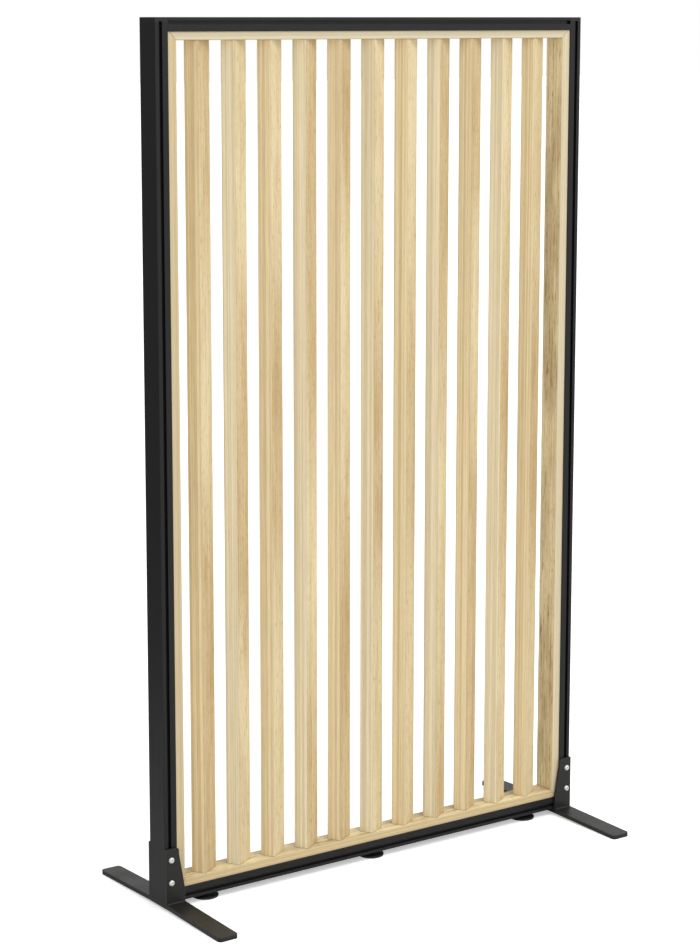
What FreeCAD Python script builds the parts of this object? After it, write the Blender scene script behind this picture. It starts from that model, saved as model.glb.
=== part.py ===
import FreeCAD, Part
import math
import os
import Sketcher

# Garden privacy screen: two slotted aluminium posts on bent steel feet, slotted rails
# between them, and a mitred timber frame with eleven turned slats inside.
# Frame: X along the screen, Y through it (the photographed face looks to -Y), Z up.
# The origin lies on the ground under the middle of the screen. Sizes in millimetres.

doc = FreeCAD.newDocument("privacy_screen")
sheet = doc.addObject("Spreadsheet::Sheet", "dims")

SIZES = [
    # overall
    ("width", 1200), ("height", 2005), ("depth", 65),
    # slotted aluminium profiles
    ("post_face", 33), ("rail_face", 31), ("wall", 2.2), ("profile_edge", 0.8),
    ("post_strip", 9.6), ("rail_strip", 7.6), ("slot_mouth", 8.4), ("slot_lip", 2.2),
    ("slot_room", 15), ("slot_deep", 5.5), ("slot_wall", 2),
    ("post_channel", 2.5), ("rail_channel", 7), ("rail_lift", 0.5),
    ("cap_height", 9), ("cap_plug", 15), ("plug_width", 17.6), ("plug_gap", 0.2),
    # connectors that hold the rails between the posts
    ("connector_length", 35), ("connector_gap", 0.2), ("bolt_diameter", 6),
    ("bolt_spread", 24), ("bolt_length", 14), ("bolt_across", 10), ("bolt_head_height", 4),
    ("bolt_bore_gap", 0.3), ("top_bolt_drop", 4.5),
    # timber frame
    ("timber_depth", 59), ("timber_thick", 25), ("timber_round", 2.5),
    ("fit_gap", 0.3), ("top_gap", 0.5),
    # slats
    ("slat_count", 11), ("slat_margin", 68.7), ("slat_width", 56), ("slat_thick", 35),
    ("slat_angle", 30), ("slat_round", 3), ("tenon_width", 40), ("tenon_thick", 20),
    ("tenon_length", 8), ("tenon_gap", 0.2),
    # steel feet
    ("foot_length", 525), ("foot_width", 50), ("foot_thick", 10), ("foot_droop", 5.5),
    ("foot_flat", 90), ("foot_corner", 8),
    ("flange_thick", 6), ("flange_height", 130), ("flange_top", 34.5), ("flange_base", 50),
    ("flange_step", 28), ("flange_shoulder", 14), ("flange_corner", 6),
    # screws and slot nuts that hold the feet to the posts
    ("screw_low", 50), ("screw_pitch", 54), ("screw_diameter", 8), ("screw_length", 12),
    ("head_diameter", 14), ("head_height", 4.4), ("head_crown", 9), ("socket_across", 5),
    ("socket_deep", 2.6), ("screw_gap", 0.3), ("thread_gap", 0.05),
    ("nut_width", 14), ("nut_length", 16), ("nut_thick", 4),
    # levelling glides
    ("glide_inset", 127), ("pad_diameter", 62), ("pad_rim", 5), ("crown_diameter", 36),
    ("pad_crown", 7), ("hub_across", 17), ("hub_height", 4), ("stud_diameter", 10),
    ("stud_length", 30), ("stud_seat", 3), ("insert_across", 15), ("insert_length", 17),
    ("collar_across", 19), ("collar_thick", 1), ("running_gap", 0.1), ("insert_gap", 0.2),
]
for row, (alias, value) in enumerate(SIZES, start=1):
    sheet.set("A%d" % row, alias)
    sheet.set("B%d" % row, str(value))
    sheet.setAlias("B%d" % row, alias)
doc.recompute()

# Lines and levels that more than one piece shares.
HALF_DEPTH = "dims.depth / 2"
POST_INNER = "(dims.width / 2 - dims.post_face)"
FOOT_TOP = "(dims.foot_droop + dims.foot_thick)"
RAIL_BASE = "(dims.foot_droop + dims.foot_thick + dims.rail_lift)"
POST_TOP = "(dims.height - dims.cap_height)"
CHAMBER_HALF = "(dims.depth / 2 - dims.slot_lip - dims.slot_deep - dims.slot_wall)"
CHANNEL_HALF = "(dims.timber_depth / 2 + dims.fit_gap)"
TIMBER_X = "(dims.width / 2 - dims.post_face + dims.post_channel - dims.fit_gap)"
TIMBER_LOW = "(%s + dims.rail_face - dims.rail_channel)" % RAIL_BASE
TIMBER_HIGH = "(dims.height - dims.rail_face + dims.rail_channel - dims.top_gap)"
OPEN_X = "(%s - dims.timber_thick)" % TIMBER_X
OPEN_LOW = "(%s + dims.timber_thick)" % TIMBER_LOW
OPEN_HIGH = "(%s - dims.timber_thick)" % TIMBER_HIGH
SLAT_SPAN = "(2 * (%s - dims.slat_margin))" % OPEN_X
POST_SLOT = "(dims.post_strip + dims.slot_mouth / 2)"
GLIDE_BASE = "(%s - dims.collar_thick)" % RAIL_BASE
GLIDE_X = "(dims.width / 2 - dims.glide_inset)"

# Bores that other pieces hide, and bolt shanks, have flats instead of a round wall.
BORE_SIDE_COUNT = 12
HEXAGON_SIDE_COUNT = 6

# A cut through a wall runs on past it. An edge counts as lying at a place when it is this
# near, in millimetres, and as running along an axis when this cosine of the angle is passed.
OVERRUN = "0.5"
NEAR = 0.01
ALONG = 0.99

made = []


def new_body(label, alone=True):
    """Start a sub-part under its own label, or a member of a group of sub-parts."""
    body = doc.addObject("PartDesign::Body", label)
    body.Label = label
    if alone:
        made.append(body)
    return body


def new_group(label, members):
    """Hold equal fasteners together as one sub-part of separate solids."""
    holder = doc.addObject("Part::Compound", label)
    holder.Label = label
    holder.Links = members
    made.append(holder)


def origin_item(body, role):
    """Find one of the body's own origin planes or axes by its role."""
    return [item for item in body.Origin.OriginFeatures if item.Role == role][0]


def new_sketch(body, name, role, offset=None):
    """Add a sketch on an origin plane, moved along the plane's normal by an expression."""
    sketch = body.newObject("Sketcher::SketchObject", name)
    sketch.AttachmentSupport = (origin_item(body, role), [""])
    sketch.MapMode = "FlatFace"
    if offset is not None:
        sketch.setExpression(".AttachmentOffset.Base.z", offset)
    return sketch


def bind(sketch, kind, geometry, point, expression):
    """Tie a point's distance from the sketch origin to an expression."""
    index = sketch.addConstraint(Sketcher.Constraint(kind, -1, 1, geometry, point, 1.0))
    sketch.setExpression("Constraints[%d]" % index, expression)


def add_loop(sketch, corners):
    """Draw a closed outline whose corners sit at pairs of expressions."""
    count = len(corners)
    turn = 2 * math.pi / count
    start = [FreeCAD.Vector(math.cos(turn * i), math.sin(turn * i), 0) for i in range(count)]
    first = len(sketch.Geometry)
    for i in range(count):
        sketch.addGeometry(Part.LineSegment(start[i], start[(i + 1) % count]), False)
    for i in range(count):
        following = first + (i + 1) % count
        sketch.addConstraint(Sketcher.Constraint("Coincident", first + i, 2, following, 1))
    for i, (along, up) in enumerate(corners):
        bind(sketch, "DistanceX", first + i, 1, along)
        bind(sketch, "DistanceY", first + i, 1, up)


def add_circle(sketch, along, up, diameter):
    """Draw a circle with its centre at a pair of expressions."""
    centre = FreeCAD.Vector(1, 1, 0)
    circle = sketch.addGeometry(Part.Circle(centre, FreeCAD.Vector(0, 0, 1), 1), False)
    bind(sketch, "DistanceX", circle, 3, along)
    bind(sketch, "DistanceY", circle, 3, up)
    index = sketch.addConstraint(Sketcher.Constraint("Diameter", circle, 2.0))
    sketch.setExpression("Constraints[%d]" % index, diameter)


def box_corners(low_x, high_x, low_y, high_y):
    """Corners of an upright rectangle."""
    return [(low_x, low_y), (high_x, low_y), (high_x, high_y), (low_x, high_y)]


def many_sided(sides, across, along="0", up="0"):
    """Corners of a regular polygon about a point, with its width across the flats."""
    corners = []
    for i in range(sides):
        angle = 2 * math.pi * i / sides
        reach = 0.5 / math.cos(math.pi / sides)
        corners.append(("%s + (%s) * %.6f" % (along, across, reach * math.cos(angle)),
                        "%s + (%s) * %.6f" % (up, across, reach * math.sin(angle))))
    return corners


def pad(body, name, sketch, length, middle=False, reverse=False):
    """Raise a sketch by an expression."""
    feature = body.newObject("PartDesign::Pad", name)
    feature.Profile = sketch
    feature.setExpression("Length", length)
    feature.Midplane = middle
    feature.Reversed = reverse
    doc.recompute()
    return feature


def pocket(body, name, sketch, length, middle=False, reverse=False):
    """Cut a sketch to a depth, and make sure that it took material away."""
    before = body.Shape.Volume
    feature = body.newObject("PartDesign::Pocket", name)
    feature.Profile = sketch
    feature.setExpression("Length", length)
    feature.Midplane = middle
    feature.Reversed = reverse
    doc.recompute()
    if body.Shape.Volume > before - 1:
        raise ValueError("%s cut nothing" % name)
    return feature


def repeat(body, name, features, role, spread, count):
    """Repeat features along an origin axis over a whole spread."""
    pattern = body.newObject("PartDesign::LinearPattern", name)
    pattern.Originals = features
    pattern.Direction = (origin_item(body, role), [""])
    pattern.setExpression("Length", spread)
    pattern.setExpression("Occurrences", count)
    body.Tip = pattern
    doc.recompute()
    return pattern


def revolve(body, name, sketch):
    """Turn a sketch of the XZ plane round the upright axis."""
    feature = body.newObject("PartDesign::Revolution", name)
    feature.Profile = sketch
    feature.ReferenceAxis = (origin_item(body, "Z_Axis"), [""])
    feature.Angle = 360
    doc.recompute()
    return feature


def finish_edges(body, name, kind, amount, wanted):
    """Round or chamfer the straight edges whose middle and direction pass a test."""
    names = []
    for number, edge in enumerate(body.Shape.Edges, start=1):
        ends = [vertex.Point for vertex in edge.Vertexes]
        if len(ends) == 2 and isinstance(edge.Curve, Part.Line):
            if wanted((ends[0] + ends[1]) * 0.5, (ends[1] - ends[0]).normalize()):
                names.append("Edge%d" % number)
    base = body.Tip
    feature = body.newObject("PartDesign::" + kind, name)
    feature.Base = (base, names)
    feature.setExpression("Radius" if kind == "Fillet" else "Size", amount)
    doc.recompute()
    return feature


def place(body, along, through, up, axis=None, angle=0):
    """Put a body at three expressions, turned about an axis."""
    if axis is not None:
        rotation = FreeCAD.Rotation(FreeCAD.Vector(*axis), angle)
        body.Placement = FreeCAD.Placement(FreeCAD.Vector(0, 0, 0), rotation)
    body.setExpression(".Placement.Base.x", along)
    body.setExpression(".Placement.Base.y", through)
    body.setExpression(".Placement.Base.z", up)


def size(alias):
    """Read a number back from the sheet."""
    return float(sheet.get(alias))


def profile_outline(face, strip, channel):
    """Section of a slotted profile: u runs inward from its outer face, v through it.

    Front and rear faces carry a T-shaped slot, and the inner face a channel for the timber.
    """
    half = HALF_DEPTH
    lip = "(dims.depth / 2 - dims.slot_lip)"
    floor = "(dims.depth / 2 - dims.slot_lip - dims.slot_deep)"
    mouth_out = strip
    mouth_in = "(%s + dims.slot_mouth)" % strip
    room_out = "(%s + dims.slot_mouth / 2 - dims.slot_room / 2)" % strip
    room_in = "(%s + dims.slot_mouth / 2 + dims.slot_room / 2)" % strip
    bed = "(%s - %s)" % (face, channel)
    front = [
        ("0", half), (mouth_out, half), (mouth_out, lip), (room_out, lip), (room_out, floor),
        (room_in, floor), (room_in, lip), (mouth_in, lip), (mouth_in, half), (face, half),
        (face, CHANNEL_HALF), (bed, CHANNEL_HALF),
    ]
    near = [(u, "-" + v) for u, v in front]
    far = [(u, v) for u, v in reversed(front)]
    return near + far


def profile_chamber(face, channel):
    """The hollow of a profile, between the slots and behind the channel."""
    inner = "(%s - %s - dims.wall)" % (face, channel)
    return box_corners("dims.wall", inner, "-" + CHAMBER_HALF, CHAMBER_HALF)


# ---------------------------------------------------------------- posts and their caps
def make_post(side, sign):
    """One upright: an extruded profile with bolt holes towards its rails."""
    flip = "-" if sign < 0 else ""
    across = flip + "(dims.width / 2 - %s)"
    body = new_body("%s_post" % side)
    sketch = new_sketch(body, "%s_post_section" % side, "XY_Plane", FOOT_TOP)
    for loop in (profile_outline("dims.post_face", "dims.post_strip", "dims.post_channel"),
                 profile_chamber("dims.post_face", "dims.post_channel")):
        add_loop(sketch, [(across % u, v) for u, v in loop])
    pad(body, "%s_post_bar" % side, sketch, "%s - %s" % (POST_TOP, FOOT_TOP))
    outer = size("width") / 2
    inner = outer - size("post_face")
    half = size("depth") / 2

    def corner(middle, direction):
        upright = abs(direction.z) > ALONG
        at_side = min(abs(abs(middle.x) - outer), abs(abs(middle.x) - inner)) < NEAR
        return upright and at_side and abs(abs(middle.y) - half) < NEAR

    finish_edges(body, "%s_post_corners" % side, "Chamfer", "dims.profile_edge", corner)
    holes = new_sketch(body, "%s_post_bolt_holes" % side, "YZ_Plane", flip + POST_INNER)
    bore = "dims.bolt_diameter + 2 * dims.bolt_bore_gap"
    for level in (LOW_BOLT, HIGH_BOLT):
        add_loop(holes, many_sided(BORE_SIDE_COUNT, bore, "-dims.bolt_spread / 2", level))
        add_loop(holes, many_sided(BORE_SIDE_COUNT, bore, "dims.bolt_spread / 2", level))
    pocket(body, "%s_post_bolt_bores" % side, holes,
           "dims.post_channel + dims.wall + " + OVERRUN, reverse=sign > 0)

    cap = new_body("%s_post_cap" % side)
    top = new_sketch(cap, "%s_cap_outline" % side, "XY_Plane", POST_TOP)
    add_loop(top, [(across % u, v) for u, v in
                   box_corners("0", "dims.post_face", "-" + HALF_DEPTH, HALF_DEPTH)])
    pad(cap, "%s_cap_lid" % side, top, "dims.cap_height")
    high = size("height")
    finish_edges(cap, "%s_cap_edges" % side, "Chamfer", "dims.profile_edge",
                 lambda middle, direction: middle.z > high - NEAR
                 or (abs(direction.z) > ALONG and abs(abs(middle.y) - half) < NEAR))
    plug = new_sketch(cap, "%s_cap_plug_outline" % side, "XY_Plane", POST_TOP)
    plug_half = "(%s - dims.plug_gap)" % CHAMBER_HALF
    start = "(dims.wall + dims.plug_gap)"
    add_loop(plug, [(across % u, v) for u, v in
                    box_corners(start, "(%s + dims.plug_width)" % start,
                                "-" + plug_half, plug_half)])
    pad(cap, "%s_cap_plug" % side, plug, "dims.cap_plug", reverse=True)


RAIL_MIDDLE = "(dims.wall + (dims.rail_face - dims.rail_channel - 2 * dims.wall) / 2)"
LOW_BOLT = "(%s + %s)" % (RAIL_BASE, RAIL_MIDDLE)
HIGH_BOLT = "(dims.height - %s - dims.top_bolt_drop)" % RAIL_MIDDLE
for side_name, side_sign in (("left", -1), ("right", 1)):
    make_post(side_name, side_sign)


# ---------------------------------------------------------------- rails
def make_rail(name, level):
    """One cross rail between the posts; level turns a depth from its outer face into Z."""
    body = new_body(name)
    sketch = new_sketch(body, "%s_section" % name, "YZ_Plane")
    for loop in (profile_outline("dims.rail_face", "dims.rail_strip", "dims.rail_channel"),
                 profile_chamber("dims.rail_face", "dims.rail_channel")):
        add_loop(sketch, [(v, level % u) for u, v in loop])
    pad(body, "%s_bar" % name, sketch, "2 * " + POST_INNER, middle=True)
    box = body.Shape.BoundBox
    finish_edges(body, "%s_corners" % name, "Chamfer", "dims.profile_edge",
                 lambda middle, direction: abs(direction.x) > ALONG
                 and min(middle.z - box.ZMin, box.ZMax - middle.z) < NEAR
                 and min(middle.y - box.YMin, box.YMax - middle.y) < NEAR)
    return body


make_rail("top_rail", "(dims.height - %s)")
bottom_rail = make_rail("bottom_rail", "(" + RAIL_BASE + " + %s)")
glide_holes = new_sketch(bottom_rail, "glide_hole_outline", "XY_Plane", RAIL_BASE)
add_loop(glide_holes, many_sided(HEXAGON_SIDE_COUNT, "dims.insert_across + 2 * dims.insert_gap",
                                 "-" + GLIDE_X))
glide_bore = pocket(bottom_rail, "glide_bore", glide_holes, "dims.wall + " + OVERRUN,
                    reverse=True)
repeat(bottom_rail, "glide_bores", [glide_bore], "X_Axis", "2 * " + GLIDE_X, "3")


# ---------------------------------------------------------------- corner connectors
def make_connector(corner, sign, level, bolt_level):
    """A block in a rail's end, and the pair of bolts that holds it to the post."""
    flip = "-" if sign < 0 else ""
    block = new_body("%s_connector" % corner)
    outline = new_sketch(block, "%s_connector_outline" % corner, "YZ_Plane",
                         "%s(%s - dims.connector_gap)" % (flip, POST_INNER))
    thin = "(dims.wall + dims.connector_gap)"
    deep = "(dims.rail_face - dims.rail_channel - dims.wall - dims.connector_gap)"
    half = "(%s - dims.connector_gap)" % CHAMBER_HALF
    add_loop(outline, [("-" + half, level % thin), (half, level % thin),
                       (half, level % deep), ("-" + half, level % deep)])
    thread = "dims.bolt_diameter + 2 * dims.thread_gap"
    for where in ("-dims.bolt_spread / 2", "dims.bolt_spread / 2"):
        add_loop(outline, many_sided(BORE_SIDE_COUNT, thread, where, bolt_level))
    pad(block, "%s_connector_block" % corner, outline, "dims.connector_length",
        reverse=sign > 0)

    bolts = new_body("%s_bolts" % corner)
    hex_outline = new_sketch(bolts, "%s_bolt_head_outline" % corner, "XY_Plane")
    add_loop(hex_outline, many_sided(HEXAGON_SIDE_COUNT, "dims.bolt_across"))
    head = pad(bolts, "%s_bolt_head" % corner, hex_outline, "dims.bolt_head_height",
               reverse=True)
    shank_outline = new_sketch(bolts, "%s_bolt_shank_outline" % corner, "XY_Plane")
    add_loop(shank_outline, many_sided(BORE_SIDE_COUNT, "dims.bolt_diameter"))
    shank = pad(bolts, "%s_bolt_shank" % corner, shank_outline, "dims.bolt_length")
    repeat(bolts, "%s_bolt_pair" % corner, [head, shank], "Y_Axis", "dims.bolt_spread", "2")
    seat = "(dims.width / 2 - dims.post_face + dims.post_channel + dims.wall)"
    place(bolts, flip + seat, "-dims.bolt_spread / 2", bolt_level, (0, 1, 0), -90 * sign)


for corner_name, corner_sign in (("left", -1), ("right", 1)):
    make_connector("top_%s" % corner_name, corner_sign, "(dims.height - %s)", HIGH_BOLT)
    make_connector("bottom_%s" % corner_name, corner_sign, "(" + RAIL_BASE + " + %s)", LOW_BOLT)


# ---------------------------------------------------------------- timber frame
def make_member(name, corners, mortises=None):
    """One mitred member of the timber frame, cut from the front view."""
    body = new_body(name)
    sketch = new_sketch(body, "%s_outline" % name, "XZ_Plane")
    add_loop(sketch, corners)
    pad(body, "%s_bar" % name, sketch, "dims.timber_depth", middle=True)
    reach = size("timber_depth") / 2
    box = body.Shape.BoundBox
    upright = box.ZLength > box.XLength

    def arris(middle, direction):
        along = abs(direction.z) > ALONG if upright else abs(direction.x) > ALONG
        return along and abs(abs(middle.y) - reach) < NEAR

    finish_edges(body, "%s_arrises" % name, "Fillet", "dims.timber_round", arris)
    if mortises is not None:
        level, into_high = mortises
        hole = new_sketch(body, "%s_mortise_outline" % name, "XY_Plane", level)
        add_loop(hole, turned_box("-%s / 2" % SLAT_SPAN, "dims.tenon_width / 2",
                                  "dims.tenon_thick / 2", "dims.tenon_gap"))
        first = pocket(body, "%s_mortise" % name, hole, "dims.tenon_length + dims.tenon_gap",
                       reverse=into_high)
        repeat(body, "%s_mortises" % name, [first], "X_Axis", SLAT_SPAN, "dims.slat_count")
    return body


def turned_box(centre, half_width, half_thick, gap):
    """Corners of a rectangle that is turned by the slats' angle about its centre."""
    cosine = "cos(dims.slat_angle * 1 deg)"
    sine = "sin(dims.slat_angle * 1 deg)"
    wide = "(%s + %s)" % (half_width, gap)
    thin = "(%s + %s)" % (half_thick, gap)
    corners = []
    for along, across in ((-1, -1), (1, -1), (1, 1), (-1, 1)):
        x = "%s + %d * %s * %s - %d * %s * %s" % (centre, along, wide, cosine,
                                                  across, thin, sine)
        y = "%d * %s * %s + %d * %s * %s" % (along, wide, sine, across, thin, cosine)
        corners.append((x, y))
    return corners


make_member("left_stile", [("-" + TIMBER_X, TIMBER_LOW), ("-" + OPEN_X, OPEN_LOW),
                           ("-" + OPEN_X, OPEN_HIGH), ("-" + TIMBER_X, TIMBER_HIGH)])
make_member("right_stile", [(TIMBER_X, TIMBER_LOW), (TIMBER_X, TIMBER_HIGH),
                            (OPEN_X, OPEN_HIGH), (OPEN_X, OPEN_LOW)])
make_member("head", [("-" + TIMBER_X, TIMBER_HIGH), ("-" + OPEN_X, OPEN_HIGH),
                     (OPEN_X, OPEN_HIGH), (TIMBER_X, TIMBER_HIGH)], (OPEN_HIGH, True))
make_member("sill", [("-" + TIMBER_X, TIMBER_LOW), (TIMBER_X, TIMBER_LOW),
                     (OPEN_X, OPEN_LOW), ("-" + OPEN_X, OPEN_LOW)], (OPEN_LOW, False))


# ---------------------------------------------------------------- slats
def make_slat(number):
    """An upright slat with a stub tenon at each end, built about its own middle."""
    name = "slat_%02d" % (number + 1)
    body = new_body(name)
    section = new_sketch(body, "%s_section" % name, "XY_Plane")
    add_loop(section, box_corners("-dims.slat_width / 2", "dims.slat_width / 2",
                                  "-dims.slat_thick / 2", "dims.slat_thick / 2"))
    clear = "(%s - %s)" % (OPEN_HIGH, OPEN_LOW)
    pad(body, "%s_bar" % name, section, clear, middle=True)
    finish_edges(body, "%s_arrises" % name, "Fillet", "dims.slat_round",
                 lambda middle, direction: abs(direction.z) > ALONG)
    tenon = new_sketch(body, "%s_tenon_section" % name, "XY_Plane")
    add_loop(tenon, box_corners("-dims.tenon_width / 2", "dims.tenon_width / 2",
                                "-dims.tenon_thick / 2", "dims.tenon_thick / 2"))
    pad(body, "%s_tenons" % name, tenon, clear + " + 2 * dims.tenon_length", middle=True)
    along = "%s * (%d / (dims.slat_count - 1) - 0.5)" % (SLAT_SPAN, number)
    place(body, along, "0", "(%s + %s) / 2" % (OPEN_LOW, OPEN_HIGH), (0, 0, 1), 1)
    body.setExpression(".Placement.Rotation.Angle", "dims.slat_angle * 1 deg")


for slat_number in range(int(size("slat_count"))):
    make_slat(slat_number)


# ---------------------------------------------------------------- feet
screw_pairs = []
nut_pairs = []


def make_foot(side, sign):
    """A bent flat bar under a post; its arms slope down to the ground at both tips."""
    flip = "-" if sign < 0 else ""
    plate = new_body("%s_foot_plate" % side)
    middle_x = "%s(dims.width / 2 - dims.foot_width / 2)" % flip
    profile = new_sketch(plate, "%s_foot_profile" % side, "YZ_Plane", middle_x)
    tip = "dims.foot_length / 2"
    flat = "dims.foot_flat / 2"
    add_loop(profile, [("-" + tip, "0"), ("-" + flat, "dims.foot_droop"),
                       (flat, "dims.foot_droop"), (tip, "0"), (tip, "dims.foot_thick"),
                       (flat, FOOT_TOP), ("-" + flat, FOOT_TOP),
                       ("-" + tip, "dims.foot_thick")])
    pad(plate, "%s_foot_bar" % side, profile, "dims.foot_width", middle=True)
    end = size("foot_length") / 2
    finish_edges(plate, "%s_foot_corners" % side, "Fillet", "dims.foot_corner",
                 lambda middle, direction: abs(direction.z) > ALONG
                 and abs(abs(middle.y) - end) < NEAR)

    out = "%s(dims.width / 2 - %%s)" % flip
    slot_x = out % POST_SLOT
    low = "(%s + dims.screw_low)" % FOOT_TOP
    for face, toward in (("front", -1), ("rear", 1)):
        name = "%s_%s_flange" % (side, face)
        flange = new_body(name)
        turn = "" if toward < 0 else "-"
        shape = new_sketch(flange, "%s_outline" % name, "XZ_Plane",
                           "%s(dims.depth / 2 + dims.flange_thick / 2)" % turn)
        peak = "(%s + dims.flange_height)" % FOOT_TOP
        add_loop(shape, [(out % "0", FOOT_TOP), (out % "dims.flange_base", FOOT_TOP),
                         (out % "dims.flange_base", "(%s + dims.flange_step)" % FOOT_TOP),
                         (out % "dims.flange_top", "(%s - dims.flange_shoulder)" % peak),
                         (out % "dims.flange_top", peak), (out % "0", peak)])
        pad(flange, "%s_plate" % name, shape, "dims.flange_thick", middle=True)
        peak_z = flange.Shape.BoundBox.ZMax
        narrow = size("width") / 2 - size("flange_top")
        finish_edges(flange, "%s_corner" % name, "Fillet", "dims.flange_corner",
                     lambda middle, direction: middle.z > peak_z - NEAR
                     and abs(direction.y) > ALONG and abs(abs(middle.x) - narrow) < NEAR)
        bores = new_sketch(flange, "%s_bore_outline" % name, "XZ_Plane",
                           "%s(dims.depth / 2 + dims.flange_thick / 2)" % turn)
        add_loop(bores, many_sided(BORE_SIDE_COUNT, "dims.screw_diameter + 2 * dims.screw_gap",
                                   slot_x, low))
        bore = pocket(flange, "%s_bore" % name, bores, "2 * dims.flange_thick", middle=True)
        repeat(flange, "%s_bores" % name, [bore], "Z_Axis", "dims.screw_pitch", "2")

        make_screws("%s_%s_foot" % (side, face), toward, slot_x, low)


def make_screws(name, toward, slot_x, low):
    """Two button-head screws through a flange, and their nuts in the post's slot."""
    screws = new_body("%s_screws" % name, alone=False)
    screw_pairs.append(screws)
    shape = new_sketch(screws, "%s_head_outline" % name, "XZ_Plane")
    add_loop(shape, [("0", "0"), ("dims.head_diameter / 2", "0"),
                     ("dims.head_crown / 2", "dims.head_height"), ("0", "dims.head_height")])
    head = revolve(screws, "%s_head" % name, shape)
    shank_outline = new_sketch(screws, "%s_shank_outline" % name, "XY_Plane")
    add_loop(shank_outline, many_sided(BORE_SIDE_COUNT, "dims.screw_diameter"))
    shank = pad(screws, "%s_shank" % name, shank_outline, "dims.screw_length", reverse=True)
    socket = new_sketch(screws, "%s_socket_outline" % name, "XY_Plane", "dims.head_height")
    add_loop(socket, many_sided(HEXAGON_SIDE_COUNT, "dims.socket_across"))
    hollow = pocket(screws, "%s_socket" % name, socket, "dims.socket_deep")
    repeat(screws, "%s_screw_pair" % name, [head, shank, hollow], "Y_Axis",
           "dims.screw_pitch", "2")
    start = low if toward < 0 else "(%s + dims.screw_pitch)" % low
    seat = "%s(dims.depth / 2 + dims.flange_thick)" % ("-" if toward < 0 else "")
    place(screws, slot_x, seat, start, (1, 0, 0), -90 * toward)

    nuts = new_body("%s_slot_nuts" % name, alone=False)
    nut_pairs.append(nuts)
    plan = new_sketch(nuts, "%s_nut_outline" % name, "XY_Plane")
    add_loop(plan, box_corners("-dims.nut_width / 2", "dims.nut_width / 2",
                               "-dims.nut_length / 2", "dims.nut_length / 2"))
    add_loop(plan, many_sided(BORE_SIDE_COUNT, "dims.screw_diameter + 2 * dims.thread_gap"))
    slab = pad(nuts, "%s_nut" % name, plan, "dims.nut_thick", reverse=True)
    repeat(nuts, "%s_nut_pair" % name, [slab], "Y_Axis", "dims.screw_pitch", "2")
    lip = "%s(dims.depth / 2 - dims.slot_lip)" % ("-" if toward < 0 else "")
    place(nuts, slot_x, lip, start, (1, 0, 0), -90 * toward)


for side_name, side_sign in (("left", -1), ("right", 1)):
    make_foot(side_name, side_sign)
new_group("foot_screws", screw_pairs)
new_group("foot_slot_nuts", nut_pairs)


# ---------------------------------------------------------------- levelling glides
def make_glide(name, along):
    """A threaded insert in the bottom rail, with a stud and its pad on the ground."""
    insert = new_body("%s_glide_insert" % name)
    for part, across, long in (("collar", "dims.collar_across", "dims.collar_thick"),
                               ("sleeve", "dims.insert_across", "dims.insert_length")):
        outline = new_sketch(insert, "%s_%s_outline" % (name, part), "XY_Plane")
        add_loop(outline, many_sided(HEXAGON_SIDE_COUNT, across))
        pad(insert, "%s_%s" % (name, part), outline, long)
    thread = new_sketch(insert, "%s_thread_outline" % name, "XY_Plane")
    add_loop(thread, many_sided(BORE_SIDE_COUNT, "dims.stud_diameter + 2 * dims.running_gap"))
    pocket(insert, "%s_thread" % name, thread, "dims.insert_length", reverse=True)
    place(insert, along, "0", GLIDE_BASE)

    disc = new_body("%s_glide_pad" % name)
    edge = new_sketch(disc, "%s_pad_outline" % name, "XZ_Plane")
    rim = "dims.pad_diameter / 2"
    crown = "dims.crown_diameter / 2"
    add_loop(edge, [("0", "0"), (rim, "0"), (rim, "dims.pad_rim"), (crown, "dims.pad_rim"),
                    (crown, "dims.pad_crown"), ("0", "dims.pad_crown")])
    revolve(disc, "%s_pad" % name, edge)
    hub = new_sketch(disc, "%s_hub_outline" % name, "XY_Plane", "dims.pad_crown")
    add_loop(hub, many_sided(HEXAGON_SIDE_COUNT, "dims.hub_across"))
    pad(disc, "%s_hub" % name, hub, "dims.hub_height")
    seat = new_sketch(disc, "%s_stud_seat_outline" % name, "XY_Plane",
                      "dims.pad_crown + dims.hub_height")
    add_loop(seat, many_sided(BORE_SIDE_COUNT, "dims.stud_diameter + 2 * dims.thread_gap"))
    pocket(disc, "%s_stud_seat" % name, seat,
           "dims.pad_crown + dims.hub_height - dims.stud_seat")
    place(disc, along, "0", "0")

    stud = new_body("%s_glide_stud" % name)
    rod = new_sketch(stud, "%s_stud_outline" % name, "XY_Plane")
    add_circle(rod, "0", "0", "dims.stud_diameter")
    pad(stud, "%s_stud" % name, rod, "dims.stud_length")
    place(stud, along, "0", "dims.stud_seat")


make_glide("left", "-" + GLIDE_X)
make_glide("middle", "0")
make_glide("right", GLIDE_X)

doc.recompute()
for item in doc.Objects:
    if "Invalid" in item.State or "Error" in item.State:
        raise ValueError("%s did not build" % item.Label)
os.makedirs("parts", exist_ok=True)
for body in made:
    if body.Shape.isNull() or not body.Shape.isValid():
        raise ValueError("%s has no valid shape" % body.Label)
for body in made:
    body.Shape.exportStep("parts/%s.step" % body.Label)
    box = body.Shape.BoundBox
    print("%-26s solids %d volume %.0f X %.1f..%.1f Y %.1f..%.1f Z %.1f..%.1f" % (
        body.Label, len(body.Shape.Solids), body.Shape.Volume,
        box.XMin, box.XMax, box.YMin, box.YMax, box.ZMin, box.ZMax))
print("%d sub-parts" % len(made))
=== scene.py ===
# %% [markdown]
# # A garden privacy screen
# The screen is a black slotted frame on two flat feet, with a pale timber frame and eleven
# turned slats inside. Its construction comes ready made, as solid pieces at their real size.
# This lesson gives every surface its finish, adds the small things that are easier to make
# as meshes, such as domed screw heads, weld beads and threads, and sets up a studio.
# Lengths are metres, X runs along the screen, Y through it and Z up.

# %% Load the frame
import math

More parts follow.
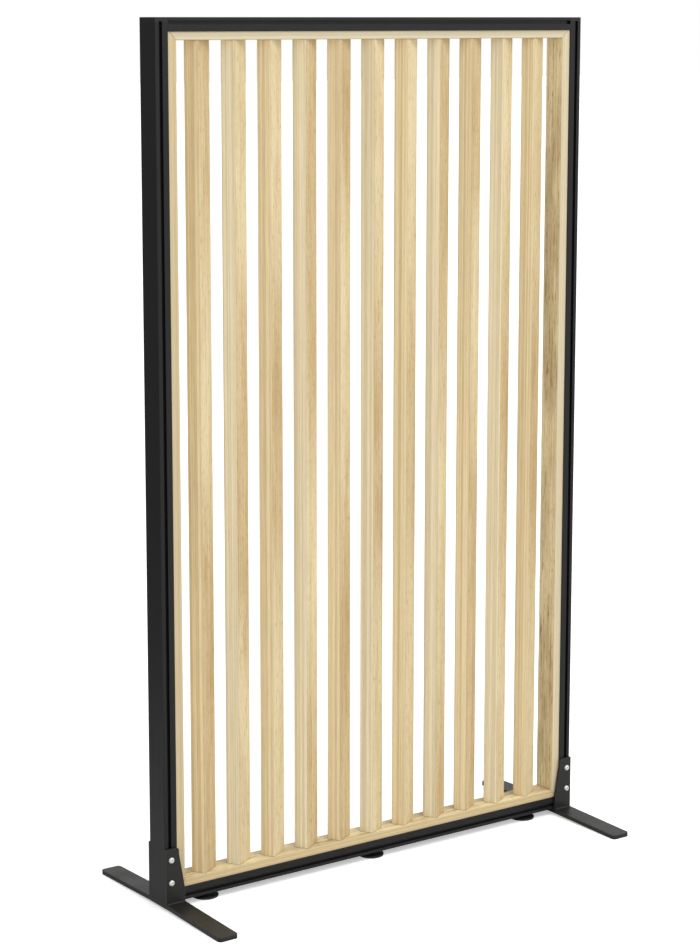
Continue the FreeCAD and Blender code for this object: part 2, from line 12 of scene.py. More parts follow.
import bpy
import numpy as np
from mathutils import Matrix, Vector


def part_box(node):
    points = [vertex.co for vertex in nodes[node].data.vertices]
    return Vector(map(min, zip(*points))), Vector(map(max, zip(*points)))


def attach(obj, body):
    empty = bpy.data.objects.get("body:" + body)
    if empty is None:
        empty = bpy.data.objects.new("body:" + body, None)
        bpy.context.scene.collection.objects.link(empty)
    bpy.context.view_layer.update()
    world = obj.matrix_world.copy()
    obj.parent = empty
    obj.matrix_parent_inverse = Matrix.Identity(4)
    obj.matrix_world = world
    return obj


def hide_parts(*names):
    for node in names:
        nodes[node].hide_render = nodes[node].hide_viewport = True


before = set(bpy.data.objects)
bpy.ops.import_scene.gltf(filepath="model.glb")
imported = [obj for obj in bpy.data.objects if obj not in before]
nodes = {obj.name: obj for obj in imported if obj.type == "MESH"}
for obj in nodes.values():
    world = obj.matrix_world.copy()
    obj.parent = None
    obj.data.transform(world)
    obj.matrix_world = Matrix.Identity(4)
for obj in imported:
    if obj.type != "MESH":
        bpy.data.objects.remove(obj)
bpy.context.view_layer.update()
MM = 0.001

# %% [markdown]
# ## The camera
# The picture was taken from the left of the screen, a little above its top, with a long
# lens. Rather than guess, the place was worked out from the straight edges of the screen:
# the posts and rails meet the picture at known angles, and only one camera fits them all.
# The lens is given as the number of pixels that one unit of slope covers.

# %% Camera
PICTURE_SIZE = (700, 948)
FOCAL_PIXELS = 2373.4
AXIS_PIXEL = (336.6, 397.9)
CAMERA_AT = (-3.2374, -4.4594, 2.0018)
LOOK_RIGHT = math.radians(35.114)
LOOK_DOWN = math.radians(9.081)
SENSOR = 36.0

long_side = max(PICTURE_SIZE)
lens = bpy.data.cameras.new("camera")
lens.sensor_width = SENSOR
lens.lens = FOCAL_PIXELS / long_side * SENSOR
lens.shift_x = (PICTURE_SIZE[0] / 2 - AXIS_PIXEL[0]) / long_side
lens.shift_y = (AXIS_PIXEL[1] - PICTURE_SIZE[1] / 2) / long_side
lens.clip_end = 200
camera = bpy.data.objects.new("camera", lens)
camera.location = CAMERA_AT
camera.rotation_euler = (math.pi / 2 - LOOK_DOWN, 0, -LOOK_RIGHT)
bpy.context.scene.collection.objects.link(camera)
bpy.context.scene.camera = camera
print("lens %.1f mm, shift %.4f %.4f" % (lens.lens, lens.shift_x, lens.shift_y))

# %% [markdown]
# ## Wiring materials
# Every finish here is a small graph of nodes. Written out in full, such a graph hides its
# idea among the links, so a small class adds a node, sets its values and joins its inputs
# in one line. A value can be a number, a colour, or the output of an earlier node.

# %% A helper for node graphs
MOST_NOISE = (0.3, 0.7)
BEVEL_SAMPLES = 6
CORNER_TURN = (0.995, 0.85)
UP = (0, 0, 1)


class Graph:
    """The node graph of a material or a world, with shorthand to wire it."""

    def __init__(self, owner, shader, **finish):
        owner.use_nodes = True
        self.owner = owner
        self.tree = owner.node_tree
        self.shader = self.tree.nodes[shader]
        self.set(self.shader, **finish)
        self.coordinates = self.add("ShaderNodeTexCoord").outputs
        self.place = self.coordinates["Object"]

    def give(self, socket, value):
        """Link an output to a socket, or set the socket to a number, vector or colour."""
        if isinstance(value, bpy.types.NodeSocket):
            self.tree.links.new(value, socket)
        elif socket.type == "RGBA":
            socket.default_value = (*value, 1)
        else:
            socket.default_value = value

    def set(self, node, **values):
        """Give inputs by name; underscores stand for spaces."""
        for key, value in values.items():
            self.give(node.inputs[key.replace("_", " ")], value)
        return node

    def add(self, kind, settings=None, **values):
        """Add a node, with its own settings and its inputs."""
        node = self.tree.nodes.new(kind)
        for key, value in (settings or {}).items():
            setattr(node, key, value)
        return self.set(node, **values)

    def math(self, operation, *values):
        """One sum on numbers."""
        node = self.add("ShaderNodeMath", {"operation": operation})
        for socket, value in zip(node.inputs, values):
            self.give(socket, value)
        return node.outputs[0]

    def toward(self, vector, direction):
        """How far a vector points along a fixed direction."""
        node = self.add("ShaderNodeVectorMath", {"operation": "DOT_PRODUCT"})
        self.give(node.inputs[0], vector)
        self.give(node.inputs[1], direction)
        return node.outputs["Value"]

    def span(self, value, low, high, new_low=0.0, new_high=1.0):
        """Stretch the values between low and high to a new range, with soft held ends."""
        node = self.add("ShaderNodeMapRange", {"interpolation_type": "SMOOTHSTEP"})
        for socket, number in zip(node.inputs, (value, low, high, new_low, new_high)):
            self.give(socket, number)
        return node.outputs["Result"]

    def mapped(self, where, scale=(1, 1, 1), turn=(0, 0, 0), move=(0, 0, 0)):
        """Points that are scaled, then turned, then moved."""
        return self.add("ShaderNodeMapping", Vector=where, Location=move, Rotation=turn,
                        Scale=scale).outputs["Vector"]

    def noise(self, where, scale=(1, 1, 1), detail=3.0, roughness=0.5):
        """Smooth random values from 0 to 1; scale is the number of swings in a metre."""
        return self.add("ShaderNodeTexNoise", Vector=self.mapped(where, scale), Scale=1.0,
                        Detail=detail, Roughness=roughness).outputs["Fac"]

    def blend(self, factor, first, second):
        """Mix two colours."""
        node = self.add("ShaderNodeMix", {"data_type": "RGBA"})
        for socket, value in zip((node.inputs[0], node.inputs[6], node.inputs[7]),
                                 (factor, first, second)):
            self.give(socket, value)
        return node.outputs[2]

    def softened(self, radius):
        """The normal of the surface as if its corners were rounded by that radius."""
        bevel = self.add("ShaderNodeBevel", {"samples": BEVEL_SAMPLES}, Radius=radius)
        return bevel.outputs["Normal"]

    def corner(self, radius):
        """One near a corner and zero on flat ground: how far rounding turns the normal."""
        true = self.add("ShaderNodeNewGeometry").outputs["True Normal"]
        return self.span(self.toward(self.softened(radius), true), *CORNER_TURN)

    def bump(self, height, distance, strength, edge=0.0):
        """Raise the surface by a height map; edge rounds the corners by that radius."""
        normal = self.add("ShaderNodeBump", Height=height, Distance=distance,
                          Strength=strength)
        if edge:
            self.set(normal, Normal=self.softened(edge))
        self.set(self.shader, Normal=normal.outputs["Normal"])


def finish_graph(name, **finish):
    """Start a material whose plain values are given by name."""
    return Graph(bpy.data.materials.new(name), "Principled BSDF", **finish)


def dress(names, material):
    """Put one material on pieces of the construction."""
    for name in names:
        mesh = nodes[name].data
        mesh.materials.clear()
        mesh.materials.append(material)
    print("%-18s on %d pieces" % (material.name, len(names)))


# %% [markdown]
# ## Black anodised extrusions
# The posts and rails are pressed through a die, so their skin has faint straight lines
# along their length, and the anodising leaves a satin black. Noise that is stretched three
# hundred times along the bar gives those lines. They only touch the gloss and a bump of a
# few hundredths of a millimetre, because the black itself is even.

# %% Extruded black
SATIN_BLACK = (0.0078, 0.008, 0.0086)
DIE_LINES = 260.0
DIE_RUN = 0.8
DIE_DEPTH = 0.04 * MM
PROFILE_EDGE = 0.8 * MM


def anodised(name, along):
    """Satin black with die lines; along is the bar's direction, 0 for X or 2 for Z."""
    g = finish_graph(name, Base_Color=SATIN_BLACK, Specular_IOR_Level=0.3)
    scale = [DIE_LINES] * 3
    scale[along] = DIE_RUN
    lines = g.noise(g.place, scale, detail=2.0)
    cloud = g.noise(g.place, (7, 7, 7))
    gloss = g.math("ADD", g.span(lines, *MOST_NOISE, 0.33, 0.43),
                   g.span(cloud, *MOST_NOISE, -0.03, 0.03))
    g.set(g.shader, Roughness=gloss)
    g.bump(lines, distance=DIE_DEPTH, strength=0.6, edge=PROFILE_EDGE)
    return g.owner


dress(["left_post", "right_post"], anodised("post_black", 2))
dress(["top_rail", "bottom_rail"], anodised("rail_black", 0))

# %% [markdown]
# ## Powder coat and moulded plastic
# Powder coat melts to a skin with a fine orange peel, a little less than a millimetre
# across, and the caps and glides are moulded with a dull grain. Both are noise bumps on a
# black ground; only the size of the grain and the gloss differ. Along each edge a thin
# lighter line is painted in: a painted highlight for the light a rounded edge catches,
# broken up by noise so that it also reads as wear where the powder runs thin. The bevel
# node finds those corners: it rounds the normal near them, so the place where the rounded
# and the true normal part company is the edge.

# %% Coated steel and plastic
def grained(name, ground, highlight_tone, gloss, grain, height, edge):
    """A dark coat with an even grain of a size and height, and a lighter tone painted on its
    edges as a highlight with wear.
    """
    g = finish_graph(name, Specular_IOR_Level=0.36)
    peel = g.noise(g.place, (1 / grain,) * 3, detail=2.0)
    dust = g.noise(g.place, (9, 9, 9), detail=4.0, roughness=0.6)
    # painted highlight: a lighter tone along the edges, broken up by dust noise like wear
    edge_highlight_and_wear = g.math("MULTIPLY", g.corner(edge), g.span(dust, *MOST_NOISE, 0.5, 1.0))
    g.set(g.shader, Base_Color=g.blend(edge_highlight_and_wear, ground, highlight_tone),
          Roughness=g.span(dust, *MOST_NOISE, gloss - 0.05, gloss + 0.05))
    g.bump(peel, distance=height, strength=0.5, edge=edge)
    return g.owner


# The lighter edge tones below are painted highlights, broken by noise like wear; fainter on
# the plastic.
coat = grained("powder_coat", ground=(0.0115, 0.0115, 0.0105), highlight_tone=(0.075, 0.075, 0.07),
               gloss=0.42, grain=0.9 * MM, height=0.06 * MM, edge=1.3 * MM)
dress([n for n in nodes if n.endswith(("_foot_plate", "_flange"))], coat)
plastic = grained("black_plastic", ground=(0.01, 0.01, 0.01), highlight_tone=(0.02, 0.02, 0.02),
                  gloss=0.5, grain=0.6 * MM, height=0.04 * MM, edge=0.8 * MM)
dress([n for n in nodes if n.endswith(("_post_cap", "_glide_pad"))], plastic)

# %% [markdown]
# ## Bare metal
# Screws, nuts, studs and connectors are turned or sawn metal. A metallic shader needs
# little else than a gloss that varies a bit, as the tool marks do.

# %% Steel and sawn aluminium
def bare_metal(name, tone, gloss):
    """Plain metal with uneven gloss."""
    g = finish_graph(name, Base_Color=tone, Metallic=1.0)
    marks = g.noise(g.place, (900, 900, 900), detail=2.0)
    g.set(g.shader, Roughness=g.span(marks, *MOST_NOISE, gloss - 0.06, gloss + 0.06))
    g.bump(marks, distance=0.02 * MM, strength=0.4)
    return g.owner


steel = bare_metal("stainless_steel", tone=(0.80, 0.80, 0.79), gloss=0.5)
dress([n for n in nodes if n.endswith(("_bolts", "_insert", "_stud", "_screws", "_nuts"))],
      steel)
sawn = bare_metal("sawn_aluminium", tone=(0.72, 0.72, 0.73), gloss=0.4)
dress([n for n in nodes if n.endswith("_connector")], sawn)

# %% [markdown]
# ## Timber
# Pale timber shows several things at once. Growth rings are cylinders round the heart of
# the tree, and a sawn face cuts them at a slant, which draws long arches. Between the rings
# run straight fibres, and on the wide faces brown flecks and short dark pores. Over it all
# the tone drifts slowly along the board. All of it comes from one solid pattern in the
# board's own coordinates, turned so that the grain runs along Z, and so the grain runs
# through the corners, as it does in real wood. Turning comes before stretching, because a
# stretch along Z must follow the board and not the room.
#
# The finer patterns are the same noise at other scales. The table gives each one's swings
# in a metre across and along the board, its detail and roughness, and the part of the noise
# that is stretched to full contrast: a high part leaves single dark marks.

# %% The figure of a board
RINGS_PER_METRE = 210.0
RING_LEAN = 0.006
RING_WAVE = 0.012
GRAIN = {
    "streaks": (170, 0.3, 2.0, 0.5, (0.36, 0.64)),
    "fibres": (330, 9, 2.0, 0.5, (0.36, 0.64)),
    "flecks": (140, 9, 3.0, 0.6, (0.54, 0.72)),
    "pores": (380, 50, 2.0, 0.6, (0.54, 0.72)),
}


def board_figure(g, centre, turn, heart, drift):
    """Patterns of one board: rings, those of the table, and the slow drift of its tone.

    The rings are the distance from the tree's axis, which stands beside the board at heart
    and leans a little; its fraction after multiplying is the place within one year's ring.
    """
    board = g.mapped(g.mapped(g.place, move=[-c for c in centre]), turn=turn, move=heart)
    x, y, z = g.add("ShaderNodeSeparateXYZ", Vector=board).outputs
    wave = g.span(g.noise(board, (9, 9, 0.9), detail=2.0), 0.2, 0.8, -RING_WAVE, RING_WAVE)
    across = g.math("ADD", g.math("MULTIPLY_ADD", z, RING_LEAN, x), wave)
    radius = g.math("SQRT", g.math("ADD", g.math("MULTIPLY", across, across),
                                   g.math("MULTIPLY", y, y)))
    ring = g.math("FRACT", g.math("MULTIPLY", radius, RINGS_PER_METRE))
    figure = {"rings": g.math("POWER", ring, 3.0),
              "drift": g.span(g.noise(board, (16, 16, drift)), 0.40, 0.62)}
    for pattern, (wide, long, detail, roughness, kept) in GRAIN.items():
        figure[pattern] = g.span(g.noise(board, (wide, wide, long), detail, roughness), *kept)
    return figure


def shade_of(g, figure, **shares):
    """Add up shares of a figure's patterns."""
    total = 0.0
    for pattern, share in shares.items():
        total = g.math("MULTIPLY_ADD", figure[pattern], share, total)
    return total


# %% [markdown]
# The narrow and the wide faces of a slat are cut differently, so they don't look alike:
# the narrow ones have straight lines and a steady tone, the wide ones have flecks, pores
# and drift. The two sets of faces are told apart by the way they point. Between them is a
# rounded arris, drawn as a thin darker line of painted shade that holds down the light the
# arris catches: there the normal points halfway, so the product of its two shares is large.
# Where one board meets another there is a dark line too, mixed in last from the distance
# to the joint: at the mitres it is the dark joint, and where the slats meet the head and
# the sill it is painted contact shade.

# %% Timber
EDGE_FACES = (0.68, 0.78)
EDGE_SHARES = {"rings": 0.08, "streaks": 0.60, "fibres": 0.20, "pores": 0.15}
# The arris tone is painted shade over the light that the rounded arris catches.
ARRIS_SHADE_TONE = (0.36, 0.26, 0.135)
ARRIS_SHADE_SHARE = 0.4
ARRIS_TURN = (0.25, 0.45)
# The joint line is a dark joint at the mitres and painted contact shade where the slats meet
# the head and the sill.
JOINT_AND_CONTACT_SHADE_TONE = (0.16, 0.10, 0.05)
JOINT_AND_CONTACT_SHADE_SHARE = 0.75
JOINT_WIDTH = (0.3 * MM, 1.1 * MM)
TIMBER_GLOSS = (0.5, 0.62)
RELIEF_SHARES = {"rings": 0.3, "fibres": 0.4, "pores": -0.8}
RELIEF = 0.1 * MM
TIMBER_EDGE = 0.8 * MM


def timber(name, figure_of, shares, tones, edge_way, edge_tones, patch, joint):
    """Oiled timber in two tones, pale and dark, with shares of the figure's patterns.

    Faces along edge_way take edge_tones, and the rounded arris between them and the others
    is darkened with painted shade. patch and joint are functions that turn a graph into a
    share of brown and into the distance to the nearest joint, where a dark line is mixed
    in: a dark joint at the mitres, painted contact shade at the slat ends.
    """
    g = finish_graph(name, Specular_IOR_Level=0.22)
    figure = board_figure(g, **figure_of)
    if patch:
        figure["patch"] = patch(g)
    shade = shade_of(g, figure, **shares)
    colour = g.blend(shade, *tones)
    facing = g.math("ABSOLUTE", g.toward(g.coordinates["Normal"], edge_way))
    lines = shade_of(g, figure, **EDGE_SHARES)
    colour = g.blend(g.span(facing, *EDGE_FACES), colour, g.blend(lines, *edge_tones))
    beside = g.math("SQRT", g.math("SUBTRACT", 1.0, g.math("MULTIPLY", facing, facing)))
    # painted shade: the arris is darkened to hold down the light its rounded corner catches
    arris_shade = g.span(g.math("MULTIPLY", facing, beside), *ARRIS_TURN, 0.0, ARRIS_SHADE_SHARE)
    colour = g.blend(arris_shade, colour, ARRIS_SHADE_TONE)
    # joint line: a dark joint at the mitres, painted contact shade at the slat ends
    colour = g.blend(g.span(joint(g), *JOINT_WIDTH, JOINT_AND_CONTACT_SHADE_SHARE, 0.0), colour, JOINT_AND_CONTACT_SHADE_TONE)
    g.set(g.shader, Base_Color=colour, Roughness=g.span(shade, 0.0, 1.0, *TIMBER_GLOSS))
    g.bump(shade_of(g, figure, **RELIEF_SHARES), RELIEF, strength=0.35, edge=TIMBER_EDGE)
    return g.owner


# %% [markdown]
# ### The slats
# The eleven slats are turned by thirty degrees. Each gets its own piece of the tree: the
# remainders of small multiples put the heart at a different distance every time. The
# narrow faces alternate between a tan and a paler, greyer board. The wide faces come
# from four kinds of board: two are pale at some height and brown away from it, and the
# other two are brown there and pale toward the head and the sill. The heights are metres
# above the ground.

# %% Slats
SLAT_TURN = math.radians(30)
EDGE_WAY = (math.cos(SLAT_TURN), math.sin(SLAT_TURN), 0)
TAN_EDGE = ((0.81, 0.68, 0.43), (0.54, 0.405, 0.205))
PALE_EDGE = ((0.84, 0.74, 0.52), (0.575, 0.485, 0.295))
SLAT_PALE = (0.70, 0.60, 0.38)
SLAT_DARK = (0.41, 0.277, 0.12)
PALE_BOARDS = ((1.25, True), (1.0, False), (1.04, False), (0.8, True))
PATCH_REACH = (0.08, 0.62)
SLAT_SHARES = {"rings": 0.08, "streaks": 0.15, "fibres": 0.18, "flecks": 0.28, "pores": 0.55,
               "drift": 0.22, "patch": 0.38}

sill_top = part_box("sill")[1].z
head_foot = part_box("head")[0].z


# The dark line mixed in along this distance is painted contact shade where the slats meet the
# head and the sill.
def slat_ends(g):
    """Distance from the head or the sill, whichever is nearer."""
    z = g.toward(g.place, UP)
    return g.math("MINIMUM", g.math("SUBTRACT", z, sill_top), g.math("SUBTRACT", head_foot, z))


def brown_patch(height, pale):
    """Brown that grows with the distance from a height, or fades with it if not pale."""
    def share(g):
        away = g.math("ABSOLUTE", g.math("SUBTRACT", g.toward(g.place, UP), height))
        return g.span(away, *PATCH_REACH, *((0.0, 1.0) if pale else (1.0, 0.0)))
    return share


for i, name in enumerate(sorted(n for n in nodes if n.startswith("slat_"))):
    low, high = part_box(name)
    heart = (0.035 + 0.011 * (i * 7 % 5), 0.02 + 0.013 * (i * 3 % 4), 0.37 * i)
    figure_of = {"centre": (low + high) / 2, "turn": (0, 0, -SLAT_TURN), "heart": heart,
                 "drift": 2.0 + 0.5 * (i % 3)}
    dress([name], timber("timber_" + name, figure_of, SLAT_SHARES, (SLAT_PALE, SLAT_DARK),
                         EDGE_WAY, PALE_EDGE if i % 2 else TAN_EDGE,
                         brown_patch(*PALE_BOARDS[i % 4]), slat_ends))

# %% [markdown]
# ### The mitred frame
# The four members meet at 45 degrees. A point on such a joint is as far from the side of
# the frame as from its top or bottom, so the difference of those two distances gives the
# distance to the joint. The front and rear faces are planed smooth and pale, while the
# faces toward the slats were sawn from the flecked side of the board.

# %% Head, sill and stiles
FRONT_TONES = {
    "head": ((0.595, 0.525, 0.36), (0.455, 0.395, 0.26)),
    "sill": ((0.61, 0.485, 0.285), (0.485, 0.37, 0.195)),
    "left_stile": ((0.555, 0.45, 0.275), (0.435, 0.345, 0.195)),
    "right_stile": ((0.64, 0.555, 0.38), (0.50, 0.425, 0.275)),
}
INNER_TONES = ((0.90, 0.775, 0.485), (0.36, 0.24, 0.10))
FRAME_SHARES = {"rings": 0.08, "streaks": 0.16, "fibres": 0.20, "flecks": 0.60, "pores": 0.45,
                "drift": 0.36}
FRAME_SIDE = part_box("head")[1].x
FRAME_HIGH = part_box("head")[1].z
FRAME_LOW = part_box("sill")[0].z


def mitre(g):
    """Distance to the nearest mitre joint, times the square root of two."""
    x = g.math("ABSOLUTE", g.toward(g.place, (1, 0, 0)))
    z = g.toward(g.place, UP)
    from_side = g.math("SUBTRACT", FRAME_SIDE, x)
    from_end = g.math("MINIMUM", g.math("SUBTRACT", FRAME_HIGH, z),
                      g.math("SUBTRACT", z, FRAME_LOW))
    return g.math("ABSOLUTE", g.math("SUBTRACT", from_side, from_end))


for i, (name, front) in enumerate(FRONT_TONES.items()):
    low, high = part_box(name)
    lies = high.x - low.x > high.z - low.z
    figure_of = {"centre": (low + high) / 2, "turn": (0, math.pi / 2 if lies else 0, 0),
                 "heart": (0.05, 0.04 + 0.02 * i, 0.6 * i), "drift": 4.0}
    dress([name], timber("timber_" + name, figure_of, FRAME_SHARES, INNER_TONES, (0, 1, 0),
                         front, None, mitre))

# %% [markdown]
# ## Small pieces from two parameters
# A screw head, a thread and a weld bead are all surfaces that close round an axis or a
# path. Such a surface is a grid: rows along the path and columns round it, with a radius
# that may change from place to place. numpy works out the whole grid at once. A fan closes
# each end, and if the enclosed volume comes out negative the faces are turned round, so
# that they always point outwards.

# %% From grids to a piece
SHARP_FROM = math.radians(40)


def shell(grid):
    """Close a grid of points, rows along and columns round, into corners and faces."""
    rows, columns = grid.shape[:2]
    corners = np.vstack([grid.reshape(-1, 3), grid[0].mean(axis=0), grid[-1].mean(axis=0)])
    row, column = np.meshgrid(np.arange(rows - 1), np.arange(columns), indexing="ij")
    here = row * columns + column
    beside = row * columns + (column + 1) % columns
    sides = np.stack([here, beside, beside + columns, here + columns], axis=-1)
    ring = np.arange(columns)
    after = (ring + 1) % columns
    first = np.full(columns, rows * columns)
    last = (rows - 1) * columns
    faces = [sides.reshape(-1, 4), np.stack([first, after, ring], axis=-1),
             np.stack([first + 1, last + ring, last + after], axis=-1)]
    a, b, c, d = (corners[faces[0][:, i]] for i in range(4))
    volume = np.einsum("ij,ij->", a, np.cross(b, c)) + np.einsum("ij,ij->", a, np.cross(c, d))
    for fan in faces[1:]:
        a, b, c = (corners[fan[:, i]] for i in range(3))
        volume += np.einsum("ij,ij->", a, np.cross(b, c))
    if volume < 0:
        faces = [part[:, ::-1] for part in faces]
    return corners, faces


def piece(name, grids, material, body, slot, *replaced):
    """Join closed grids into one piece that rides on a body."""
    corners, faces = [], []
    count = 0
    for grid in grids:
        points, parts = shell(grid)
        corners.append(points)
        for part in parts:
            faces.extend((part + count).tolist())
        count += len(points)
    mesh = bpy.data.meshes.new(name)
    mesh.from_pydata(np.vstack(corners).tolist(), [], faces)
    mesh.polygons.foreach_set("use_smooth", [True] * len(mesh.polygons))
    mesh.set_sharp_from_angle(angle=SHARP_FROM)
    mesh.materials.append(material)
    obj = bpy.data.objects.new(name, mesh)
    bpy.context.scene.collection.objects.link(obj)
    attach(obj, body)
    if replaced:
        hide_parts(*replaced)
    print("%-20s %5d faces" % (name, len(mesh.polygons)))
    return obj


def turned(radii, heights, angles):
    """Points of a turned or milled shape: radii and heights for each row and angle."""
    radii, heights = np.broadcast_arrays(radii, heights)
    return np.stack([radii * np.cos(angles), radii * np.sin(angles), heights], axis=-1)


def round_angles(count):
    """Evenly spaced angles for the columns of a grid."""
    return np.arange(count) * 2 * math.pi / count


def hexagon(across, angles):
    """Radius of a hexagon: half its width over the cosine of the angle from a flat."""
    return across / 2 / np.cos(angles % (math.pi / 3) - math.pi / 6)


# %% [markdown]
# ## Button heads
# The feet are held by eight M8 button-head screws. The dome is a quarter of an ellipse
# that is turned round the axis, and the socket is a hexagon pushed into it, with a small
# bevel where the two meet. The rows run from the floor of the socket over the dome and
# down the shank, so one grid makes the whole screw.

# %% Foot screws
HEAD_RADIUS = 7.0 * MM
HEAD_HEIGHT = 4.4 * MM
HEAD_EDGE = 0.7 * MM
CROWN_RADIUS = 3.7 * MM
SOCKET_ACROSS = 5.0 * MM
SOCKET_FLOOR = 1.8 * MM
SOCKET_BEVEL = 0.3 * MM
SHANK_RADIUS = 4.0 * MM
SHANK_LENGTH = 12.0 * MM
SHANK_TIP = 0.8 * MM


def button_screw():
    """A domed screw with a hexagonal socket: rows of radii and heights round the axis."""
    angles = round_angles(48)
    socket = hexagon(SOCKET_ACROSS, angles)
    rise = np.linspace(0, math.pi / 2, 12)[:, None]
    dome_radii = CROWN_RADIUS + (HEAD_RADIUS - CROWN_RADIUS) * np.sin(rise)
    dome_heights = HEAD_EDGE + (HEAD_HEIGHT - HEAD_EDGE) * np.cos(rise)
    around = np.ones_like(angles)
    radii = np.vstack([socket, socket, around * (SOCKET_ACROSS / 2 + 2 * SOCKET_BEVEL),
                       dome_radii * around, around * HEAD_RADIUS, around * SHANK_RADIUS,
                       around * SHANK_RADIUS, around * (SHANK_RADIUS - SHANK_TIP)])
    heights = np.vstack([[SOCKET_FLOOR], [HEAD_HEIGHT - SOCKET_BEVEL], [HEAD_HEIGHT],
                         dome_heights, [0], [0], [SHANK_TIP - SHANK_LENGTH], [-SHANK_LENGTH]])
    return turned(radii, heights, angles)


screws_low, screws_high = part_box("foot_screws")
screw_x = screws_high.x - HEAD_RADIUS
screw_seat = screws_high.y - HEAD_HEIGHT
local = button_screw()
screws = []
for side in (-1, 1):
    for face in (-1, 1):
        for level in (screws_low.z + HEAD_RADIUS, screws_high.z - HEAD_RADIUS):
            screws.append(np.stack([side * screw_x + local[..., 0],
                                    face * (screw_seat + local[..., 2]),
                                    level + local[..., 1]], axis=-1))
piece("button_screws", screws, steel, "screen", "fastener_steel", "foot_screws")

# %% [markdown]
# ## Weld beads
# The upright flanges are welded to the flat feet along their outer lower edge. A bead is
# a tube along that edge, sunk into both plates, whose radius swells once for each drop of
# the rod. The swelling lags with the angle, which draws the curved ripples of a weld.

# %% Welds under the flanges
BEAD_RADIUS = 2.1 * MM
BEAD_RIPPLE = 0.3 * MM
BEAD_STEP = 2.6 * MM
BEAD_LAG = 0.8
BEAD_MARGIN = 1.5 * MM
BEAD_END = 0.05


def weld_bead(start, end, y, z):
    """A rippled tube along X: its radius is a mean plus a sine of the distance and angle."""
    along = np.linspace(0, 1, 140)[:, None]
    angles = round_angles(20)
    x = start + (end - start) * along
    ripple = np.abs(np.sin(math.pi * x / BEAD_STEP + BEAD_LAG * np.cos(angles)))
    closing = np.sqrt(1 - np.abs(2 * along - 1) ** 24)
    radius = (BEAD_RADIUS + BEAD_RIPPLE * ripple) * np.maximum(closing, BEAD_END)
    return np.stack([np.broadcast_to(x, radius.shape), y + radius * np.cos(angles),
                     z + radius * np.sin(angles)], axis=-1)


beads = []
for flange in sorted(n for n in nodes if n.endswith("_flange")):
    low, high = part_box(flange)
    outer_y = low.y if low.y < 0 else high.y
    beads.append(weld_bead(low.x + BEAD_MARGIN, high.x - BEAD_MARGIN, outer_y, low.z))
piece("flange_welds", beads, coat, "screen", "foot_steel")

# %% [markdown]
# ## Levelling glides
# Each glide is a round foot with a hexagonal hub and a threaded stud. A thread is a height
# map on a cylinder: the crest climbs by one pitch in a turn, so the radius depends on the
# height minus the angle's share of the pitch. The pad is a turned profile with a rounded
# rim and a low dome, and the hub a hexagon whose upper corners are cut by a cone.

# %% Thread, pad and hub
THREAD_PITCH = 1.5 * MM
THREAD_DEPTH = 0.85 * MM
RIM_ROUND = 1.4 * MM
RIM_HEIGHT = 5.0 * MM
DOME_HEIGHT = 7.0 * MM
DOME_RADIUS = 13.0 * MM
HUB_ACROSS = 17.0 * MM
HUB_TOP = 11.0 * MM
HUB_CHAMFER = 0.3 * MM
HUB_CUT = 2 * MM
HUB_SLOPE = 1.8


def threaded_rod(radius, low, high):
    """A screw thread: the radius falls by a cosine of height over pitch less the angle."""
    rows = int((high - low) / THREAD_PITCH * 10)
    angles = round_angles(28)
    z = np.linspace(low, high, rows)[:, None]
    flank = 0.5 - 0.5 * np.cos(2 * math.pi * z / THREAD_PITCH - angles)
    lead = np.minimum(np.minimum(z - low, high - z), THREAD_DEPTH)
    return turned(np.minimum(radius - THREAD_DEPTH * flank, radius - THREAD_DEPTH + lead),
                  z, angles)


def glide_pad(radius):
    """A foot whose rim is two quarter rounds and whose top is a low parabolic dome."""
    angles = round_angles(72)
    turn = np.linspace(0, math.pi / 2, 6)[:, None]
    spread = np.linspace(0, 1, 8)[:, None]
    core = radius - RIM_ROUND
    radii = np.vstack([core + RIM_ROUND * np.sin(turn), core + RIM_ROUND * np.cos(turn),
                       core + (DOME_RADIUS - core) * spread])
    heights = np.vstack([RIM_ROUND - RIM_ROUND * np.cos(turn),
                         RIM_HEIGHT - RIM_ROUND + RIM_ROUND * np.sin(turn),
                         RIM_HEIGHT + (DOME_HEIGHT - RIM_HEIGHT) * (1 - (1 - spread) ** 2)])
    return turned(radii * np.ones_like(angles), heights, angles)


def hexagon_hub():
    """A hexagonal prism whose top corners are trimmed by a cone."""
    angles = round_angles(72)
    base = DOME_HEIGHT - RIM_ROUND
    z = np.concatenate([[base], np.linspace(HUB_TOP - HUB_CUT, HUB_TOP, 8)])[:, None]
    cone = HUB_ACROSS / 2 - HUB_CHAMFER + HUB_SLOPE * (HUB_TOP - z)
    return turned(np.minimum(hexagon(HUB_ACROSS, angles), cone), z, angles)


def moved(grid, centre):
    """Stand a grid at a place on the ground plan."""
    return grid + np.array([centre[0], centre[1], 0])


for side in ("left", "middle", "right"):
    body = side + "_glide"
    low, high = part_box(body + "_pad")
    centre = (low + high) / 2
    piece(body + "_foot", [moved(glide_pad((high.x - low.x) / 2), centre),
                           moved(hexagon_hub(), centre)],
          plastic, body, "glide_plastic", body + "_pad")
    low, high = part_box(body + "_stud")
    piece(body + "_thread", [moved(threaded_rod((high.x - low.x) / 2, low.z, high.z), centre)],
          steel, body, "fastener_steel", body + "_stud")

# %% [markdown]
# ## The studio
# A white floor and a white sky light the screen from all round, which gives soft shading
# between the slats. The sky is brighter toward the front, where the lamps would stand, and
# darker behind on the left. Black satin shows almost nothing but what it mirrors, so its
# tone is set by what stands where it looks: the mirrored floor is a grey card that darkens
# toward the back. The camera itself sees the floor white, and a little glow that only the
# camera sees keeps it white in the shadow of the screen.

# %% Floor
FLOOR_HALF = 60.0
FLOOR_WHITE = (0.95, 0.95, 0.95)
FLOOR_GLOW = 0.4
CARD_NEAR = (0.66, 0.66, 0.66)
CARD_FAR = (0.16, 0.16, 0.16)
CARD_REACH = 3.0
BEHIND_LEFT = (-0.58, 0.81, 0.0)

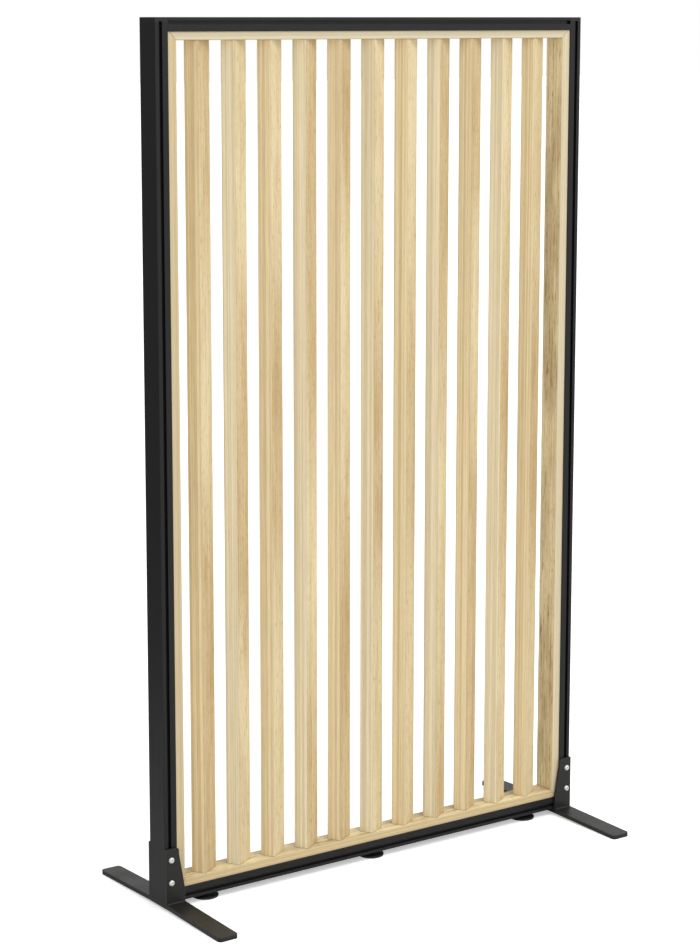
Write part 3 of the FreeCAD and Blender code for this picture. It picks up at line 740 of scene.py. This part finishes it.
corners = [(-FLOOR_HALF, -FLOOR_HALF, 0), (FLOOR_HALF, -FLOOR_HALF, 0),
           (FLOOR_HALF, FLOOR_HALF, 0), (-FLOOR_HALF, FLOOR_HALF, 0)]
floor_mesh = bpy.data.meshes.new("floor")
floor_mesh.from_pydata(corners, [], [(0, 1, 2, 3)])
floor = bpy.data.objects.new("floor", floor_mesh)
bpy.context.scene.collection.objects.link(floor)
g = finish_graph("floor_white", Roughness=0.9, Specular_IOR_Level=0.1)
card = g.blend(g.span(g.toward(g.place, BEHIND_LEFT), 0.0, CARD_REACH), CARD_NEAR, CARD_FAR)
path = g.add("ShaderNodeLightPath").outputs
g.set(g.shader, Base_Color=g.blend(path["Is Glossy Ray"], FLOOR_WHITE, card),
      Emission_Strength=g.math("MULTIPLY", path["Is Camera Ray"], FLOOR_GLOW),
      Emission_Color=(1, 1, 1))
floor_mesh.materials.append(g.owner)
print("floor %.0f m wide, mirrored as %.2f to %.2f grey" % (2 * FLOOR_HALF, CARD_NEAR[0],
                                                            CARD_FAR[0]))

# %% Sky and lamp
SKY_MIDDLE = 0.92
SKY_SWING = 0.42
BRIGHT_WAY = (0.35, -0.8, 0.49)
FLAG_SHADE = 0.6
FLAG_EDGES = (0.5, 0.95)

g = Graph(bpy.data.worlds.new("studio"), "Background", Color=(1, 1, 1))
way = g.coordinates["Generated"]
swing = g.math("MULTIPLY_ADD", g.toward(way, BRIGHT_WAY), SKY_SWING, SKY_MIDDLE)
flag = g.span(g.toward(way, BEHIND_LEFT), *FLAG_EDGES, 1.0, 1.0 - FLAG_SHADE)
seen = g.add("ShaderNodeLightPath").outputs["Is Camera Ray"]
g.set(g.shader, Strength=g.math("MAXIMUM", seen, g.math("MULTIPLY", swing, flag)))
bpy.context.scene.world = g.owner
bpy.context.scene.view_settings.view_transform = "Standard"


def lamp(name, at, target, size, power):
    """A square soft lamp that faces a point."""
    data = bpy.data.lights.new(name, "AREA")
    data.size = size
    data.energy = power
    obj = bpy.data.objects.new(name, data)
    obj.location = at
    aim = np.array(target) - np.array(at)
    obj.rotation_euler = (math.atan2(math.hypot(aim[0], aim[1]), -aim[2]), 0,
                          math.atan2(aim[1], aim[0]) - math.pi / 2)
    bpy.context.scene.collection.objects.link(obj)
    print("lamp %s, %.1f m wide, %.1f m from its target" % (name, size, np.linalg.norm(aim)))


lamp("key", at=(1.6, -3.4, 5.6), target=(0, 0, 1.0), size=2.4, power=90)
